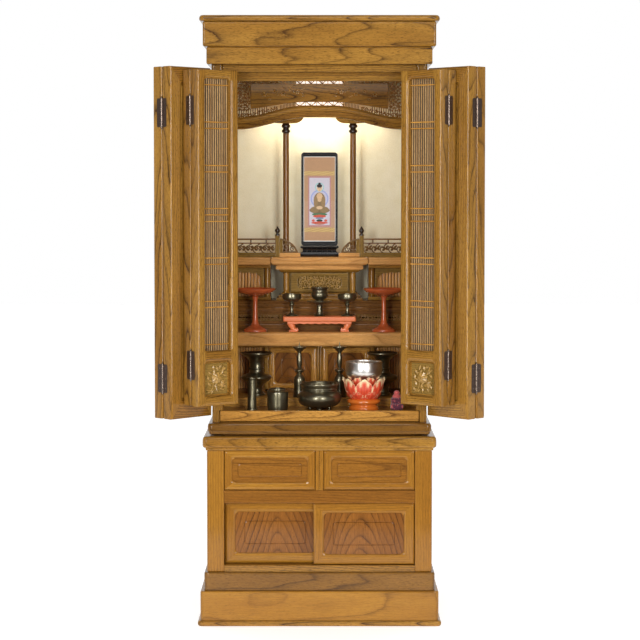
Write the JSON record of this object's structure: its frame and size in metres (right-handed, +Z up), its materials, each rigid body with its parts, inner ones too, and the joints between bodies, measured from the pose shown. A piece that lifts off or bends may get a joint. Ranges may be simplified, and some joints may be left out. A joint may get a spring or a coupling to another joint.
{
  "type": "household altar cabinet",
  "caption": "Tall floor-standing wooden altar cabinet with folding outer and lattice inner doors, a lit altar with furnishings, drawers and sliding doors below.",
  "frame": {"origin": "centre of the underside of the plinth", "axes": "+Z up, +X to the viewer's right, the doors open towards -Y"},
  "size_m": [0.8794, 0.635, 1.634],
  "materials": {
    "wood": "satin",
    "wood_panel": "satin",
    "wood_dark": "satin",
    "carved_wood": "satin",
    "hinge_bronze": "dark patina",
    "bronze": "polished dark patina",
    "silver_metal": "polished",
    "black_lacquer": "gloss lacquer",
    "red_lacquer": "gloss lacquer",
    "vermilion_lacquer": "satin lacquer",
    "lotus_lacquer": "painted",
    "brocade": "woven",
    "gold_cloth": "matt",
    "scroll_cloth": "matt"
  },
  "bodies": {
    "root": {"plinth": "wood", "plinth_riser": "wood", "lower_cabinet": "wood", "lower_cabinet_top": "wood", "upper_sill": "wood", "upper_cabinet": "wood", "crown": "wood", "chamber_step": "wood", "chamber_panels": "wood", "front_shelf": "wood", "altar_base": "wood_dark", "altar_table": "wood", "dais_wing_left": "wood", "dais_wing_right": "wood", "railing_left": "carved_wood", "railing_right": "carved_wood", "arched_beam": "wood", "transom": "wood_dark", "pillar_left": "wood", "pillar_right": "wood", "gold_cloth_back": "gold_cloth", "scroll_stand": "black_lacquer", "scroll_picture": "scroll_cloth", "offering_table": "vermilion_lacquer", "tazza_left": "red_lacquer", "tazza_right": "red_lacquer", "stem_cup_left": "bronze", "stem_cup_right": "bronze", "rice_bowl": "bronze", "vase_left": "bronze", "vase_right": "bronze", "candlestick_left": "bronze", "candlestick_right": "bronze", "censer": "bronze", "incense_holder": "bronze", "match_pot": "bronze", "lotus_stand": "lotus_lacquer", "bell": "silver_metal", "striker_cushion": "brocade"},
    "drawer_left": {"drawer_left": "wood"},
    "drawer_right": {"drawer_right": "wood"},
    "sliding_door_left": {"sliding_door_left": "wood_panel"},
    "sliding_door_right": {"sliding_door_right": "wood_panel"},
    "pull_out_board": {"pull_out_board": "wood"},
    "outer_left_hung": {"outer_door_left_hung": "wood", "outer_hinge_left_lower": "hinge_bronze", "outer_hinge_left_upper": "hinge_bronze"},
    "outer_left_folding": {"outer_door_left_folding": "wood"},
    "inner_left_hung": {"inner_door_left_hung": "wood", "inner_hinge_left_lower": "hinge_bronze", "inner_hinge_left_upper": "hinge_bronze"},
    "inner_left_folding": {"inner_door_left_folding": "wood"},
    "outer_right_hung": {"outer_door_right_hung": "wood", "outer_hinge_right_lower": "hinge_bronze", "outer_hinge_right_upper": "hinge_bronze"},
    "outer_right_folding": {"outer_door_right_folding": "wood"},
    "inner_right_hung": {"inner_door_right_hung": "wood", "inner_hinge_right_lower": "hinge_bronze", "inner_hinge_right_upper": "hinge_bronze"},
    "inner_right_folding": {"inner_door_right_folding": "wood"}
  },
  "joints": [
    {"name": "left_doors", "type": "hinge", "parent": "root", "child": "outer_left_hung", "pos_m": [-0.2895, -0.222, 1], "axis": [0, 0, 1], "range_deg": [0, 134.5]},
    {"name": "left_outer_fold", "type": "hinge", "parent": "outer_left_hung", "child": "outer_left_folding", "pos_m": [-0.41681, -0.29948, 1], "axis": [0, 0, 1], "range_deg": [0, 180.01]},
    {"name": "left_inner_door", "type": "hinge", "parent": "root", "child": "inner_left_hung", "pos_m": [-0.2585, -0.2215, 1], "axis": [0, 0, 1], "range_deg": [0, 143.51]},
    {"name": "left_inner_fold", "type": "hinge", "parent": "inner_left_hung", "child": "inner_left_folding", "pos_m": [-0.34019, -0.32798, 1], "axis": [0, 0, -1], "range_deg": [0, 180.01]},
    {"name": "right_doors", "type": "hinge", "parent": "root", "child": "outer_right_hung", "pos_m": [0.2895, -0.222, 1], "axis": [0, 0, -1], "range_deg": [0, 134.5]},
    {"name": "right_outer_fold", "type": "hinge", "parent": "outer_right_hung", "child": "outer_right_folding", "pos_m": [0.41681, -0.29948, 1], "axis": [0, 0, -1], "range_deg": [0, 180.01]},
    {"name": "right_inner_door", "type": "hinge", "parent": "root", "child": "inner_right_hung", "pos_m": [0.2585, -0.2215, 1], "axis": [0, 0, -1], "range_deg": [0, 143.51]},
    {"name": "right_inner_fold", "type": "hinge", "parent": "inner_right_hung", "child": "inner_right_folding", "pos_m": [0.34019, -0.32798, 1], "axis": [0, 0, 1], "range_deg": [0, 180.01]},
    {"name": "drawer_left_slide", "type": "slide", "parent": "root", "child": "drawer_left", "axis": [0, -1, 0], "range_m": [0, 0.32]},
    {"name": "drawer_right_slide", "type": "slide", "parent": "root", "child": "drawer_right", "axis": [0, -1, 0], "range_m": [0, 0.32]},
    {"name": "sliding_door_left_slide", "type": "slide", "parent": "root", "child": "sliding_door_left", "axis": [1, 0, 0], "range_m": [0, 0.239]},
    {"name": "sliding_door_right_slide", "type": "slide", "parent": "root", "child": "sliding_door_right", "axis": [-1, 0, 0], "range_m": [0, 0.239]},
    {"name": "pull_out_board_slide", "type": "slide", "parent": "root", "child": "pull_out_board", "axis": [0, 1, 0], "range_m": [-0.2, 0]}
  ],
  "couplings": [
    {"joint": "left_outer_fold", "follows": "left_doors", "ratio": 1.3383},
    {"joint": "left_inner_door", "follows": "left_doors", "ratio": 1.0669},
    {"joint": "left_inner_fold", "follows": "left_doors", "ratio": 1.3383},
    {"joint": "right_outer_fold", "follows": "right_doors", "ratio": 1.3383},
    {"joint": "right_inner_door", "follows": "right_doors", "ratio": 1.0669},
    {"joint": "right_inner_fold", "follows": "right_doors", "ratio": 1.3383}
  ]
}
